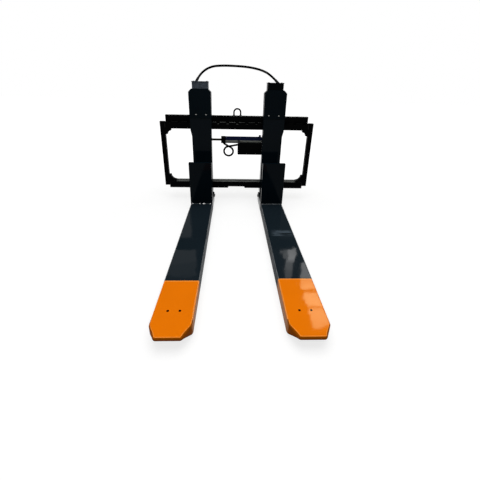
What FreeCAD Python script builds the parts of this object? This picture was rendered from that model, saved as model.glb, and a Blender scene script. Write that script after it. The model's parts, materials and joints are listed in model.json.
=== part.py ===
import FreeCAD, Part
import math
import os

# Telescopic fork carriage: a hang-on side-shifting carriage with a pair of
# hydraulic forks whose outer sleeves slide forward on fixed inner forks.
# X is across, the forks point along -Y, Z is up from the ground that the
# sleeves lie on. All sizes are in millimetres.

os.makedirs("parts", exist_ok=True)
V = FreeCAD.Vector

# ---- forks and sleeves ----
SLEEVE_LENGTH = 1095.0      # heel plate face to nose tip
SLEEVE_W = 156.0
SLEEVE_H = 64.0
SLEEVE_WALL = 9.0
SLEEVE_EDGE_R = 7.0
MOUTH_R = 3.0               # inner edges of the sleeve's bore
FORK_SPREAD = 506.0         # centre to centre of the sleeves
NOSE_LENGTH = 79.0
NOSE_LIP = 13.0             # thickness left at the very tip
NOSE_LIP_R = 5.5
NOSE_RAMP = 73.0            # length of the sloping underside
NOSE_CORNER_X = 29.5
NOSE_CORNER_Y = 55.0
TIP_HOLE_R = 4.0
TIP_HOLE_SPREAD = 46.0
TIP_HOLE_BACK = 118.0       # from the tip
HEEL_PLATE_H = 304.5        # above the sleeve
HEEL_PLATE_T = 20.0
HEEL_PLATE_R = 4.0

BASE_L = 150.0              # thick foot between the heel plate and shank
SHANK_W = 140.0
SHANK_T = 60.0
SHOULDER_OUT = 9.0          # upper shank is this much wider outside
SHOULDER_H = 41.0
BLADE_END_GAP = 12.0        # left between the blade's end and the nose
HEEL_R = 34.0               # outer bend of the inner fork
HOOK_ARM = 33.0             # height of the fork hook above the bar
HOOK_LIP_T = 11.0
HOOK_LIP_DEEP = 20.0

# ---- housings on top of the forks ----
COVER_W = 152.0
COVER_SHIFT = 5.0           # covers sit this much further out than shanks
COVER_SIDE_H = 169.0
COVER_CHAMFER = 20.0
COVER_T = 66.0
COVER_PROUD = 3.0
CAP_W = 108.0
CAP_H = 46.0
CAP_LID_T = 5.0
CAP_LID_PROUD = 2.0

# ---- fork bars and side plates of the shifting carriage ----
HOOK_HEIGHT = 508.0         # top of upper bar to foot of lower bar
LOWER_BAR_FOOT = 98.0
UPPER_BAR_H = 50.0
LOWER_BAR_H = 53.0
BAR_T = 30.0
TONGUE_T = 16.0             # the edge that the fork hooks grip
TONGUE_H = 25.0
BAR_HALF = 526.0
RAIL_SHORT = 1.0            # the frame's rails end this much sooner
NOTCH_PITCH = 70.0
NOTCH_COUNT = 15
NOTCH_TOP = 26.0
NOTCH_FOOT = 14.0
NOTCH_DEEP = 12.0
RELIEF_W = 124.0            # gap in the lower bar where forks go on
RELIEF_H = 12.0
SIDE_W = 35.0
SIDE_EDGE = 3.0
SIDE_FOOT = 21.0            # side plates end this much above the bar's foot
GUSSET_STEP = 15.0
GUSSET_TOP_R = 26.0
GUSSET_LOW_R = 40.0

# ---- rear hook frame ----
TOP_RAIL_RISE = 44.0        # stands this much over the fork bar
TOP_RAIL_H = 98.0
RAIL_T = 30.0
UPRIGHT_W = 84.0
UPRIGHT_BACK = 12.0         # posts stand behind the rails' front face
GROOVE_H = 18.0
GROOVE_DEEP = 13.0
GROOVE_DOWN = 79.0          # groove centre below the rail's top
PAD_LENGTH = 180.0
PAD_IN = 185.0              # pad's middle from the end of the rail
LOW_PAD_H = 18.0
TRUCK_HOOK_W = 90.0
TRUCK_HOOK_ARM = 26.0
TRUCK_LIP_T = 18.0
TRUCK_LIP_DEEP = 22.0
BOLT_SPREAD = 50.0
BOLT_AF = 24.0
BOLT_HEAD = 10.0

# ---- fittings at the forks' heels ----
HEEL_BLOCK_OUT = 3.0        # stands out of the base's inner side
HEEL_BLOCK_D = 24.0
HEEL_BLOCK_H = 20.0
HEEL_BLOCK_DOWN = 30.0      # its foot below the base's top
HEEL_BLOCK_BACK = 22.0      # behind the shank's front
HEEL_NUT_AF = 17.0
HEEL_NUT_L = 3.0

# ---- lifting eye, shift cylinder, valve ----
EYE_W = 60.0
EYE_H = 52.0
EYE_BAR = 11.0
EYE_T = 12.0
EYE_EDGE = 3.0
CYL_UP = 381.0              # above the lower bar's foot
CYL_R = 25.0
CYL_LEFT = -85.0
CYL_END_T = 16.0            # solid end behind the bore
HANGER_W = 40.0
HANGER_H = 36.0             # where it grips the barrel's end
HANGER_IN = 10.0            # hidden this far behind the shank's inner side
HANGER_GRIP = 12.0          # reaches this far into the barrel's end
GLAND_R = 27.0
GLAND_L = 33.0
ROD_R = 8.0
ROD_END = -270.0            # middle of the bracket that holds the rod
BRACKET_W = 28.0
ROD_BORE_GAP = 0.3
SHIFT = 100.0               # side shift each way
VALVE_LEFT = 5.0
VALVE_BACK = 35.0           # behind the shanks' front
VALVE_D = 62.0
VALVE_H = 78.0              # below the barrel
VALVE_LEDGE = 9.0           # front ledge that the barrel lies behind
VALVE_EDGE = 3.0
PORT_R = 8.0
PORT_DEEP = 16.0
FITTING_AF = 14.0
FITTING_L = 15.0
FITTING_IN = 9.0            # middle of the fitting from the block's left end
PORT_FITTING_IN = 12.0      # the same from the barrel's closed end
PORT_FITTING_L = 12.0
ARCH_R = 6.0
ARCH_BACK = 30.0            # behind the shanks' front
RING_R = 6.5
RING_TURN_R = 34.0          # middle of the hose's one round turn
RING_X = -63.0
RING_BACK = 74.0            # behind the shanks' front
RING_DOWN = 87.0            # below the barrel's middle
RING_LEAD_IN = 5.0          # the leads pass in front of and behind the turn
FERRULE_R = 8.5
FERRULE_L = 36.0

# ---- clearances ----
RUN_GAP = 5.0               # between plates that pass each other
SLIDE_GAP = 0.3             # at pads, blades and rods
HOOK_GAP = 1.0              # fork hooks on their bars
MARGIN = 1.0                # cutters and edge picks reach past a face

# ---- places ----
BASE_FRONT = HEEL_PLATE_T + RUN_GAP
SHANK_FRONT = BASE_FRONT + BASE_L
BAR_FRONT = SHANK_FRONT + SHANK_T
BAR_BACK = BAR_FRONT + BAR_T
FRAME_FRONT = BAR_BACK + RUN_GAP
TRUCK_FACE = FRAME_FRONT + RAIL_T
REAR = TRUCK_FACE + TONGUE_T + HOOK_GAP + TRUCK_LIP_T
# the heel plate's face is y0, so that the whole is centred on Y = 0
Y0 = (SLEEVE_LENGTH + REAR) / 2.0 - REAR
BAR_TOP = LOWER_BAR_FOOT + HOOK_HEIGHT
RAIL_TOP = BAR_TOP + TOP_RAIL_RISE
GROOVE_Z = RAIL_TOP - GROOVE_DOWN
BLADE_FOOT = SLEEVE_WALL + SLIDE_GAP
BLADE_TOP = SLEEVE_H - SLEEVE_WALL - SLIDE_GAP
COVER_FOOT = BAR_TOP + HOOK_ARM
COVER_TOP = COVER_FOOT + COVER_SIDE_H + COVER_CHAMFER
CAP_TOP = COVER_TOP + CAP_H
CYL_Y = FRAME_FRONT + UPRIGHT_BACK - RUN_GAP - GLAND_R
CYL_Z = LOWER_BAR_FOOT + CYL_UP
SHANK_X = FORK_SPREAD / 2.0
SHANK_INNER = SHANK_X - SHANK_W / 2.0
COVER_X = SHANK_X + COVER_SHIFT
CYL_RIGHT = SHANK_INNER - HOOK_GAP
CYL_FOOT = CYL_Z - CYL_R
VALVE_RIGHT = SHANK_INNER - HOOK_GAP
VALVE_FRONT = SHANK_FRONT + VALVE_BACK
VALVE_TOP = CYL_FOOT + VALVE_LEDGE
VALVE_FOOT = CYL_FOOT - VALVE_H
UPPER_BAR_FOOT = BAR_TOP - UPPER_BAR_H
FRAME_HALF = BAR_HALF - RAIL_SHORT
RING_Y = SHANK_FRONT + RING_BACK
RING_Z = CYL_Z - RING_DOWN
# the ring's hose leaves the gland's foot and ends at the block's left face
RING_START = (CYL_LEFT - GLAND_L / 2, CYL_Y, CYL_Z - GLAND_R)
RING_END = (VALVE_LEFT, RING_Y + RING_LEAD_IN, CYL_FOOT - 2 * RING_R)
RAIL_FOOT = RAIL_TOP - TOP_RAIL_H
SIDES = (("left", -1.0), ("right", 1.0))


def box(x0, x1, y0, y1, z0, z1):
    """Block between two corners; y is counted from the heel plate's face."""
    return Part.makeBox(x1 - x0, y1 - y0, z1 - z0, V(x0, Y0 + y0, z0))


def slab_x(points, x0, x1):
    """Profile of (y, z) points drawn out along X."""
    pts = [V(x0, Y0 + y, z) for y, z in points]
    face = Part.Face(Part.makePolygon(pts + pts[:1]))
    return face.extrude(V(x1 - x0, 0, 0))


def slab_y(points, y0, y1):
    """Profile of (x, z) points drawn out along Y."""
    pts = [V(x, Y0 + y0, z) for x, z in points]
    face = Part.Face(Part.makePolygon(pts + pts[:1]))
    return face.extrude(V(0, y1 - y0, 0))


def slab_z(points, z0, z1):
    """Profile of (x, y) points drawn up along Z."""
    pts = [V(x, Y0 + y, z0) for x, y in points]
    face = Part.Face(Part.makePolygon(pts + pts[:1]))
    return face.extrude(V(0, 0, z1 - z0))


def rod(x, y, z, radius, length, way):
    """Round bar that starts at a point and runs along a unit way."""
    return Part.makeCylinder(radius, length, V(x, Y0 + y, z), V(*way))


def hex_bar(x, y, z, flats, length, way):
    """Hexagon bar that starts at a point and runs along X or Z."""
    corner = flats / math.sqrt(3.0)
    along, side = V(*way), V(0, 1, 0)
    over = side.cross(along)
    points = []
    for i in range(6):
        turn = math.radians(60 * i)
        points.append(V(x, Y0 + y, z) + over * (corner * math.cos(turn))
                      + side * (corner * math.sin(turn)))
    return Part.Face(Part.makePolygon(points + points[:1])).extrude(along * length)


def edges_along(shape, way, keep=lambda mid: True):
    """Straight edges that run along X, Y or Z and whose middle passes keep."""
    axis = V(*way)
    found = []
    for edge in shape.Edges:
        if not isinstance(edge.Curve, (Part.Line, Part.LineSegment)):
            continue
        run = edge.Vertexes[1].Point - edge.Vertexes[0].Point
        if run.Length > 0 and abs(run.normalize().dot(axis)) > 0.999:
            if keep(edge.CenterOfMass):
                found.append(edge)
    return found


def save(name, shape):
    """Writes one clean solid as one STEP."""
    shape = shape.removeSplitter()
    if len(shape.Solids) != 1:
        raise ValueError(name + " is not one solid")
    shape.Solids[0].exportStep("parts/" + name + ".step")


# ---- outer sleeves ----
def sleeve_tube(xc):
    """Box section with rounded long edges and two holes near its front."""
    half = SLEEVE_W / 2.0
    front = -SLEEVE_LENGTH + NOSE_LENGTH
    outer = box(xc - half, xc + half, front, HEEL_PLATE_T, 0, SLEEVE_H)
    outer = outer.makeFillet(SLEEVE_EDGE_R, edges_along(outer, (0, 1, 0)))
    wall = SLEEVE_WALL
    bore = box(xc - half + wall, xc + half - wall, front, HEEL_PLATE_T,
               wall, SLEEVE_H - wall)
    bore = bore.makeFillet(MOUTH_R, edges_along(bore, (0, 1, 0)))
    tube = outer.cut(bore)
    for side in (-1, 1):
        hole = rod(xc + side * TIP_HOLE_SPREAD / 2, -SLEEVE_LENGTH + TIP_HOLE_BACK,
                   SLEEVE_H - wall - MARGIN, TIP_HOLE_R, wall + 2 * MARGIN,
                   (0, 0, 1))
        tube = tube.cut(hole)
    return tube


def nose(xc):
    """Solid tip: sloping underside, thin rounded lip, cut corners."""
    tip = -SLEEVE_LENGTH
    half = SLEEVE_W / 2.0
    back = tip + NOSE_LENGTH
    body = slab_x([(back, 0), (back, SLEEVE_H), (tip, SLEEVE_H),
                   (tip, SLEEVE_H - NOSE_LIP), (tip + NOSE_RAMP, 0)],
                  xc - half, xc + half)
    for side in (-1, 1):
        x = xc + side * half
        corner = slab_z([(x, tip), (x - side * NOSE_CORNER_X, tip),
                         (x, tip + NOSE_CORNER_Y)], 0, SLEEVE_H)
        body = body.cut(corner)
    body = body.makeFillet(SLEEVE_EDGE_R, edges_along(body, (0, 1, 0)))
    lip = edges_along(body, (1, 0, 0), lambda m: m.y < Y0 + tip + MARGIN)
    return body.makeFillet(NOSE_LIP_R, lip)


def heel_plate(xc):
    """Upright plate that pushes the load, welded on the sleeve's heel."""
    half = SLEEVE_W / 2.0
    top = SLEEVE_H + HEEL_PLATE_H
    plate = box(xc - half, xc + half, 0, HEEL_PLATE_T, SLEEVE_H, top)
    upper = edges_along(plate, (0, 1, 0), lambda m: m.z > top - MARGIN)
    return plate.makeFillet(HEEL_PLATE_R, upper)


# ---- inner forks ----
def inner_fork(side):
    """Blade in the sleeve, thick base, shank, upper and lower hooks."""
    sx = side * SHANK_X
    end = -SLEEVE_LENGTH + NOSE_LENGTH + BLADE_END_GAP
    half = SLEEVE_W / 2.0
    half_bore = half - SLEEVE_WALL - SLIDE_GAP
    taper = (BLADE_TOP - BLADE_FOOT) / 4.0
    blade = slab_x([(end, BLADE_FOOT + taper), (end, BLADE_TOP - taper),
                    (end + 3 * taper, BLADE_TOP), (SHANK_FRONT, BLADE_TOP),
                    (SHANK_FRONT, BLADE_FOOT), (end + 3 * taper, BLADE_FOOT)],
                   sx - half_bore, sx + half_bore)
    blade = blade.makeFillet(MOUTH_R + SLIDE_GAP,
                             edges_along(blade, (0, 1, 0)))
    base = box(sx - half, sx + half, BASE_FRONT, BAR_FRONT, 0, SLEEVE_H)
    heel = edges_along(base, (1, 0, 0), lambda m: m.z < MARGIN
                       and m.y > Y0 + BAR_FRONT - MARGIN)
    base = base.makeFillet(HEEL_R, heel)
    base = base.makeFillet(SLEEVE_EDGE_R, edges_along(base, (0, 1, 0),
                                                      lambda m: m.z > MARGIN))
    inner = side * SHANK_INNER
    outer = inner + side * SHANK_W
    wide = outer + side * SHOULDER_OUT
    sunk = SLEEVE_H - SLEEVE_EDGE_R
    shank = slab_y([(inner, sunk), (inner, COVER_FOOT), (wide, COVER_FOOT),
                    (wide, UPPER_BAR_FOOT), (outer, UPPER_BAR_FOOT - SHOULDER_H),
                    (outer, sunk)], SHANK_FRONT, BAR_FRONT)
    fork = base.fuse(blade).fuse(shank)
    lip_front = BAR_FRONT + TONGUE_T + HOOK_GAP
    lip_back = lip_front + HOOK_LIP_T
    top_hook = slab_x([(BAR_FRONT, BAR_TOP + HOOK_GAP), (BAR_FRONT, COVER_FOOT),
                       (lip_back, COVER_FOOT), (lip_back, BAR_TOP - HOOK_LIP_DEEP),
                       (lip_front, BAR_TOP - HOOK_LIP_DEEP),
                       (lip_front, BAR_TOP + HOOK_GAP)],
                      min(inner, wide), max(inner, wide))
    foot = LOWER_BAR_FOOT - HOOK_GAP
    low_hook = slab_x([(BAR_FRONT, foot), (BAR_FRONT, foot - HOOK_LIP_DEEP),
                       (lip_back, foot - HOOK_LIP_DEEP),
                       (lip_back, LOWER_BAR_FOOT + HOOK_LIP_DEEP),
                       (lip_front, LOWER_BAR_FOOT + HOOK_LIP_DEEP),
                       (lip_front, foot)], min(inner, outer), max(inner, outer))
    return fork.fuse(top_hook).fuse(low_hook)


def hook_cover(side):
    """Housing over a fork's hook, with its upper corners cut off."""
    xc = side * COVER_X
    half = COVER_W / 2.0
    front = SHANK_FRONT - COVER_PROUD
    shoulder = COVER_FOOT + COVER_SIDE_H
    inner = half - COVER_CHAMFER
    cover = slab_y([(xc - half, COVER_FOOT), (xc - half, shoulder),
                    (xc - inner, COVER_TOP), (xc + inner, COVER_TOP),
                    (xc + half, shoulder), (xc + half, COVER_FOOT)],
                   front, front + COVER_T)
    return cover


def cap_box(side):
    """Narrow box on the hook cover with a lid that stands a little proud."""
    xc = side * SHANK_X
    half = CAP_W / 2.0
    back = SHANK_FRONT + COVER_T - 2 * COVER_PROUD
    cap = box(xc - half, xc + half, SHANK_FRONT, back, COVER_TOP, CAP_TOP)
    out = CAP_LID_PROUD
    lid = box(xc - half - out, xc + half + out, SHANK_FRONT - out, back + out,
              CAP_TOP - CAP_LID_T, CAP_TOP)
    return cap.fuse(lid)


def heel_fitting(side):
    """Hydraulic port block on a base's inner side, with its hexagon plug."""
    x = side * (SHANK_X - SLEEVE_W / 2.0)
    face = x - side * HEEL_BLOCK_OUT
    front = SHANK_FRONT + HEEL_BLOCK_BACK
    foot = SLEEVE_H - HEEL_BLOCK_DOWN
    block = box(min(x, face), max(x, face), front, front + HEEL_BLOCK_D,
                foot, foot + HEEL_BLOCK_H)
    nut = hex_bar(face, front + HEEL_BLOCK_D / 2, foot + HEEL_BLOCK_H / 2,
                  HEEL_NUT_AF, HEEL_NUT_L, (-side, 0, 0))
    return block.fuse(nut)


# ---- shifting carriage ----
def notch_xs():
    """Centres of the notches along the upper bar."""
    first = -(NOTCH_COUNT - 1) / 2.0 * NOTCH_PITCH
    return [first + i * NOTCH_PITCH for i in range(NOTCH_COUNT)]


def upper_bar():
    """Upper fork bar: a stepped section with locking notches in its edge."""
    foot = UPPER_BAR_FOOT
    bar = slab_x([(BAR_FRONT, foot), (BAR_FRONT, BAR_TOP),
                  (BAR_FRONT + TONGUE_T, BAR_TOP),
                  (BAR_FRONT + TONGUE_T, BAR_TOP - TONGUE_H),
                  (BAR_BACK, BAR_TOP - TONGUE_H),
                  (BAR_BACK, foot)], -BAR_HALF, BAR_HALF)
    deep = BAR_TOP - NOTCH_DEEP
    for x in notch_xs():
        cutter = slab_y([(x - NOTCH_FOOT / 2, deep),
                         (x - NOTCH_TOP / 2, BAR_TOP + MARGIN),
                         (x + NOTCH_TOP / 2, BAR_TOP + MARGIN),
                         (x + NOTCH_FOOT / 2, deep)],
                        BAR_FRONT - MARGIN, BAR_FRONT + TONGUE_T + MARGIN)
        bar = bar.cut(cutter)
    return bar


def lower_bar():
    """Lower fork bar, with the gap in its foot where forks are hung on."""
    foot = LOWER_BAR_FOOT
    bar = slab_x([(BAR_FRONT, foot), (BAR_FRONT, foot + LOWER_BAR_H),
                  (BAR_BACK, foot + LOWER_BAR_H),
                  (BAR_BACK, foot + TONGUE_H + TONGUE_T / 4),
                  (BAR_FRONT + TONGUE_T, foot + TONGUE_H),
                  (BAR_FRONT + TONGUE_T, foot)], -BAR_HALF, BAR_HALF)
    half = RELIEF_W / 2.0
    flare = half + RELIEF_H / 2
    gap = slab_y([(-flare, foot - MARGIN), (-half, foot + RELIEF_H),
                  (half, foot + RELIEF_H), (flare, foot - MARGIN)],
                 BAR_FRONT - MARGIN, BAR_BACK + MARGIN)
    return bar.cut(gap)


def side_plate(side):
    """End plate between the bars, with stepped and curved gussets."""
    inner = side * BAR_HALF
    outer = side * (BAR_HALF + SIDE_W)
    win_foot = LOWER_BAR_FOOT + LOWER_BAR_H
    plate = box(min(inner, outer), max(inner, outer), BAR_FRONT, BAR_BACK,
                LOWER_BAR_FOOT + SIDE_FOOT, BAR_TOP)
    rim = edges_along(plate, (0, 0, 1), lambda m: abs(m.x) > BAR_HALF + MARGIN)
    plate = plate.makeChamfer(SIDE_EDGE, rim)
    for z, up, radius in ((UPPER_BAR_FOOT, -1, GUSSET_TOP_R),
                          (win_foot, 1, GUSSET_LOW_R)):
        reach = GUSSET_STEP + radius
        far = inner - side * reach
        block = box(min(inner, far), max(inner, far), BAR_FRONT, BAR_BACK,
                    min(z, z + up * reach), max(z, z + up * reach))
        curve = rod(far, BAR_FRONT - MARGIN, z + up * reach, radius,
                    BAR_T + 2 * MARGIN, (0, 1, 0))
        plate = plate.fuse(block.cut(curve))
    return plate


def shift_cylinder():
    """Barrel of the side-shift cylinder. Its closed end hangs from the upper
    bar by a hanger that a fork's shank hides from the front."""
    length = CYL_RIGHT - CYL_LEFT
    barrel = rod(CYL_LEFT, CYL_Y, CYL_Z, CYL_R, length, (1, 0, 0))
    grip = CYL_RIGHT - HANGER_GRIP
    left = SHANK_INNER + HANGER_IN
    right = left + HANGER_W
    low, high = CYL_Z - HANGER_H / 2, CYL_Z + HANGER_H / 2
    hanger = slab_y([(grip, low), (grip, high), (left, high), (left, UPPER_BAR_FOOT),
                     (right, UPPER_BAR_FOOT), (right, high), (left, low)],
                    BAR_FRONT + RUN_GAP, BAR_BACK)
    bore = rod(CYL_LEFT - MARGIN, CYL_Y, CYL_Z, ROD_R + ROD_BORE_GAP,
               length - CYL_END_T, (1, 0, 0))
    return barrel.fuse(hanger).cut(bore)


def barrel_port():
    """Port fitting on top of the barrel, near its closed end."""
    x = CYL_RIGHT - PORT_FITTING_IN
    port = hex_bar(x, CYL_Y, CYL_Z, FITTING_AF, CYL_R + PORT_FITTING_L, (0, 0, 1))
    return port.cut(rod(x - CYL_R, CYL_Y, CYL_Z, CYL_R, 2 * CYL_R, (1, 0, 0)))


def shift_gland():
    """Gland nut that the rod slides through."""
    nut = rod(CYL_LEFT - GLAND_L, CYL_Y, CYL_Z, GLAND_R, GLAND_L, (1, 0, 0))
    bore = rod(CYL_LEFT - GLAND_L - MARGIN, CYL_Y, CYL_Z, ROD_R + ROD_BORE_GAP,
               GLAND_L + 2 * MARGIN, (1, 0, 0))
    return nut.cut(bore)


def shift_rod():
    """Chromed rod, fixed to the hook frame."""
    inside = CYL_LEFT + SHIFT + 3 * ROD_R
    return rod(ROD_END, CYL_Y, CYL_Z, ROD_R, inside - ROD_END, (1, 0, 0))


def rod_bracket():
    """Lug from the left upright that holds the rod's end."""
    half = BRACKET_W / 2.0
    high = 2 * ROD_R
    lug = box(ROD_END - half, ROD_END + half, BAR_FRONT + RUN_GAP,
              FRAME_FRONT + UPRIGHT_BACK, CYL_Z - high, CYL_Z + high)
    return lug.cut(rod(ROD_END, CYL_Y, CYL_Z, ROD_R, BRACKET_W, (1, 0, 0)))


def valve_block():
    """Flow divider under the cylinder, with two supply ports in its rear."""
    back = VALVE_FRONT + VALVE_D
    block = slab_x([(VALVE_FRONT, VALVE_FOOT), (VALVE_FRONT, VALVE_TOP),
                    (CYL_Y, VALVE_TOP), (CYL_Y, CYL_FOOT), (back, CYL_FOOT),
                    (back, VALVE_FOOT)], VALVE_LEFT, VALVE_RIGHT)
    outer = edges_along(block, (0, 0, 1), lambda m: abs(m.y - Y0 - CYL_Y) > MARGIN)
    block = block.makeChamfer(VALVE_EDGE, outer)
    width = VALVE_RIGHT - VALVE_LEFT
    block = block.cut(rod(VALVE_LEFT - MARGIN, CYL_Y, CYL_Z, CYL_R + SLIDE_GAP,
                          width + 2 * MARGIN, (1, 0, 0)))
    for x in (VALVE_LEFT + width / 3, VALVE_LEFT + 2 * width / 3):
        block = block.cut(rod(x, back + MARGIN, VALVE_FOOT + VALVE_H / 2, PORT_R,
                              PORT_DEEP + MARGIN, (0, -1, 0)))
    return block


def valve_fitting():
    """Screwed fitting on the block's ledge, in front of the barrel."""
    return hex_bar(VALVE_LEFT + FITTING_IN, VALVE_FRONT + FITTING_AF / 2, VALVE_TOP,
                   FITTING_AF, FITTING_L, (0, 0, 1))


def slide_pad(side, upper):
    """Bearing pad between the carriage and the hook frame."""
    xc = side * (FRAME_HALF - PAD_IN)
    half = PAD_LENGTH / 2.0
    if upper:
        z, h, back = GROOVE_Z, GROOVE_H / 2 - SLIDE_GAP, FRAME_FRONT + GROOVE_DEEP
    else:
        z = LOWER_BAR_FOOT + (TONGUE_H + LOWER_BAR_H) / 2.0 + TONGUE_T / 8
        h, back = LOW_PAD_H / 2, FRAME_FRONT
    return box(xc - half, xc + half, BAR_BACK, back - SLIDE_GAP, z - h, z + h)


# ---- hook frame ----
def top_rail():
    """Upper rail with the groove that the upper pads slide in."""
    rail = box(-FRAME_HALF, FRAME_HALF, FRAME_FRONT, TRUCK_FACE, RAIL_FOOT, RAIL_TOP)
    end = FRAME_HALF + MARGIN
    groove = box(-end, end, FRAME_FRONT - MARGIN, FRAME_FRONT + GROOVE_DEEP,
                 GROOVE_Z - GROOVE_H / 2, GROOVE_Z + GROOVE_H / 2)
    return rail.cut(groove)


def low_rail():
    """Lower rail of the hook frame, level with the lower fork bar."""
    return box(-FRAME_HALF, FRAME_HALF, FRAME_FRONT, TRUCK_FACE,
               LOWER_BAR_FOOT, LOWER_BAR_FOOT + LOWER_BAR_H)


def upright(side):
    """Post between the rails, behind a fork shank."""
    xc = side * SHANK_X
    half = UPRIGHT_W / 2.0
    return box(xc - half, xc + half, FRAME_FRONT + UPRIGHT_BACK, TRUCK_FACE,
               LOWER_BAR_FOOT + LOWER_BAR_H, RAIL_FOOT)


def truck_hook(side):
    """Upper hook that hangs the frame on the truck's own bar."""
    xc = side * SHANK_X
    half = TRUCK_HOOK_W / 2.0
    top = BAR_TOP + TRUCK_HOOK_ARM
    lip = TRUCK_FACE + TONGUE_T + HOOK_GAP
    edge = TRUCK_LIP_T / 3.0
    return slab_x([(TRUCK_FACE, BAR_TOP), (TRUCK_FACE, top), (REAR - edge, top),
                   (REAR, top - edge), (REAR, BAR_TOP - TRUCK_LIP_DEEP + edge),
                   (REAR - edge, BAR_TOP - TRUCK_LIP_DEEP),
                   (lip, BAR_TOP - TRUCK_LIP_DEEP), (lip, BAR_TOP)],
                  xc - half, xc + half)


def low_hook(side):
    """Lower hook, bolted under the rail after the frame is hung on."""
    xc = side * SHANK_X
    half = TRUCK_HOOK_W / 2.0
    foot = LOWER_BAR_FOOT
    under = foot - TRUCK_HOOK_ARM
    lip = TRUCK_FACE + TONGUE_T + HOOK_GAP
    edge = TRUCK_LIP_T / 3.0
    hook = slab_x([(FRAME_FRONT, foot), (TRUCK_FACE, foot), (lip, foot - HOOK_GAP),
                   (lip, foot + TRUCK_LIP_DEEP), (REAR - edge, foot + TRUCK_LIP_DEEP),
                   (REAR, foot + TRUCK_LIP_DEEP - edge), (REAR, under + edge),
                   (REAR - edge, under), (FRAME_FRONT, under)], xc - half, xc + half)
    for dx in (-BOLT_SPREAD / 2, BOLT_SPREAD / 2):
        hook = hook.fuse(hex_bar(xc + dx, FRAME_FRONT + RAIL_T / 2, under,
                                 BOLT_AF, BOLT_HEAD, (0, 0, -1)))
    return hook


def eight_sided(x, y, z, wide, deep, edge):
    """Level face, wide along X and deep along Y, with its corners cut off."""
    a, b = wide / 2.0, deep / 2.0
    corners = [(a, b - edge), (a - edge, b), (edge - a, b), (-a, b - edge),
               (-a, edge - b), (edge - a, -b), (a - edge, -b), (a, edge - b)]
    points = [V(x + right, Y0 + y + back, z) for right, back in corners]
    return Part.Face(Part.makePolygon(points + points[:1]))


def lifting_eye():
    """Flat bar with broken edges, bent into an eye on the top rail."""
    middle = FRAME_FRONT + RAIL_T / 2.0
    out = (EYE_W - EYE_BAR) / 2.0
    arc_z = RAIL_TOP + EYE_H - EYE_W / 2.0
    legs = [eight_sided(x, middle, RAIL_TOP, EYE_BAR, EYE_T, EYE_EDGE).extrude(
        V(0, 0, arc_z - RAIL_TOP)) for x in (-out, out)]
    section = eight_sided(out, middle, arc_z, EYE_BAR, EYE_T, EYE_EDGE)
    arch = section.revolve(V(0, Y0 + middle, arc_z), V(0, -1, 0), 180)
    return arch.fuse(legs[0]).fuse(legs[1])


# ---- hoses ----
def hose(points, radius):
    """Round hose along straight runs joined by tangent arcs."""
    pts = [V(x, Y0 + y, z) for x, y, z in points]
    edges = []
    last = pts[0]
    for a, b, c in zip(pts, pts[1:], pts[2:]):
        into, out = (b - a), (c - b)
        short = 0.45 * min(into.Length, out.Length)
        u, w = V(into).normalize(), V(out).normalize()
        p, q = b - u * short, b + w * short
        half_turn = math.acos(max(-1.0, min(1.0, u.dot(w)))) / 2.0
        bulge = (w - u).normalize() * short * (1 / math.cos(half_turn) - 1) \
            / math.tan(half_turn)
        edges.append(Part.makeLine(last, p))
        edges.append(Part.Arc(p, b + bulge, q).toShape())
        last = q
    edges.append(Part.makeLine(last, pts[-1]))
    path = Part.Wire(edges)
    start = pts[1] - pts[0]
    ring = Part.Wire(Part.makeCircle(radius, pts[0], start.normalize()))
    return path.makePipeShell([ring], True, True)


# arch over both forks, from one cap box to the other
ARCH = [(x, SHANK_FRONT + ARCH_BACK, CAP_TOP + up) for x, up in (
    (-266, 20), (-244, 53), (-180, 90), (-105, 97), (-15, 96), (75, 91), (158, 75),
    (216, 48), (252, 16))]


def ferrule(end, after):
    """Crimped hose end that leads from a cap box's top into the arch."""
    way = (V(*end) - V(*after)).normalize()
    sleeve = rod(*end, FERRULE_R, FERRULE_L, way)
    inside = box(end[0] - SLEEVE_W, end[0] + SLEEVE_W, 0, BAR_BACK,
                 COVER_FOOT, CAP_TOP)
    return sleeve.cut(inside)


def ring_touch(x, z, side):
    """Point (x, z) where a straight lead from a point meets the round turn."""
    away = math.hypot(x - RING_X, z - RING_Z)
    turn = math.atan2(z - RING_Z, x - RING_X)
    turn += side * math.acos(RING_TURN_R / away)
    return (RING_X + RING_TURN_R * math.cos(turn), RING_Z + RING_TURN_R * math.sin(turn))


def valve_hose():
    """Hose from the gland to the valve block. Its one round turn is a closed
    ring of eight-sided section, and a straight lead joins it at each end."""
    thick = 2 * RING_R
    corner = RING_R * (1 - math.tan(math.pi / 8))
    section = eight_sided(RING_X + RING_TURN_R, RING_Y, RING_Z, thick, thick, corner)
    ring = section.revolve(V(RING_X, Y0 + RING_Y, RING_Z), V(0, 1, 0), 360)
    for start, y, side in ((RING_START, RING_Y - RING_LEAD_IN, -1),
                           (RING_END, RING_Y + RING_LEAD_IN, 1)):
        x, z = ring_touch(start[0], start[2], side)
        run = V(x, y, z) - V(*start)
        inside = V(*start) - V(run).normalize() * thick
        ring = ring.fuse(rod(*inside, RING_R, run.Length + thick, run))
    ring = ring.cut(rod(CYL_LEFT - GLAND_L - thick, CYL_Y, CYL_Z, GLAND_R + SLIDE_GAP,
                        GLAND_L + 2 * thick, (1, 0, 0)))
    return ring.cut(box(VALVE_LEFT - SLIDE_GAP, VALVE_RIGHT, VALVE_FRONT,
                        VALVE_FRONT + VALVE_D, VALVE_FOOT, VALVE_TOP))


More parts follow.
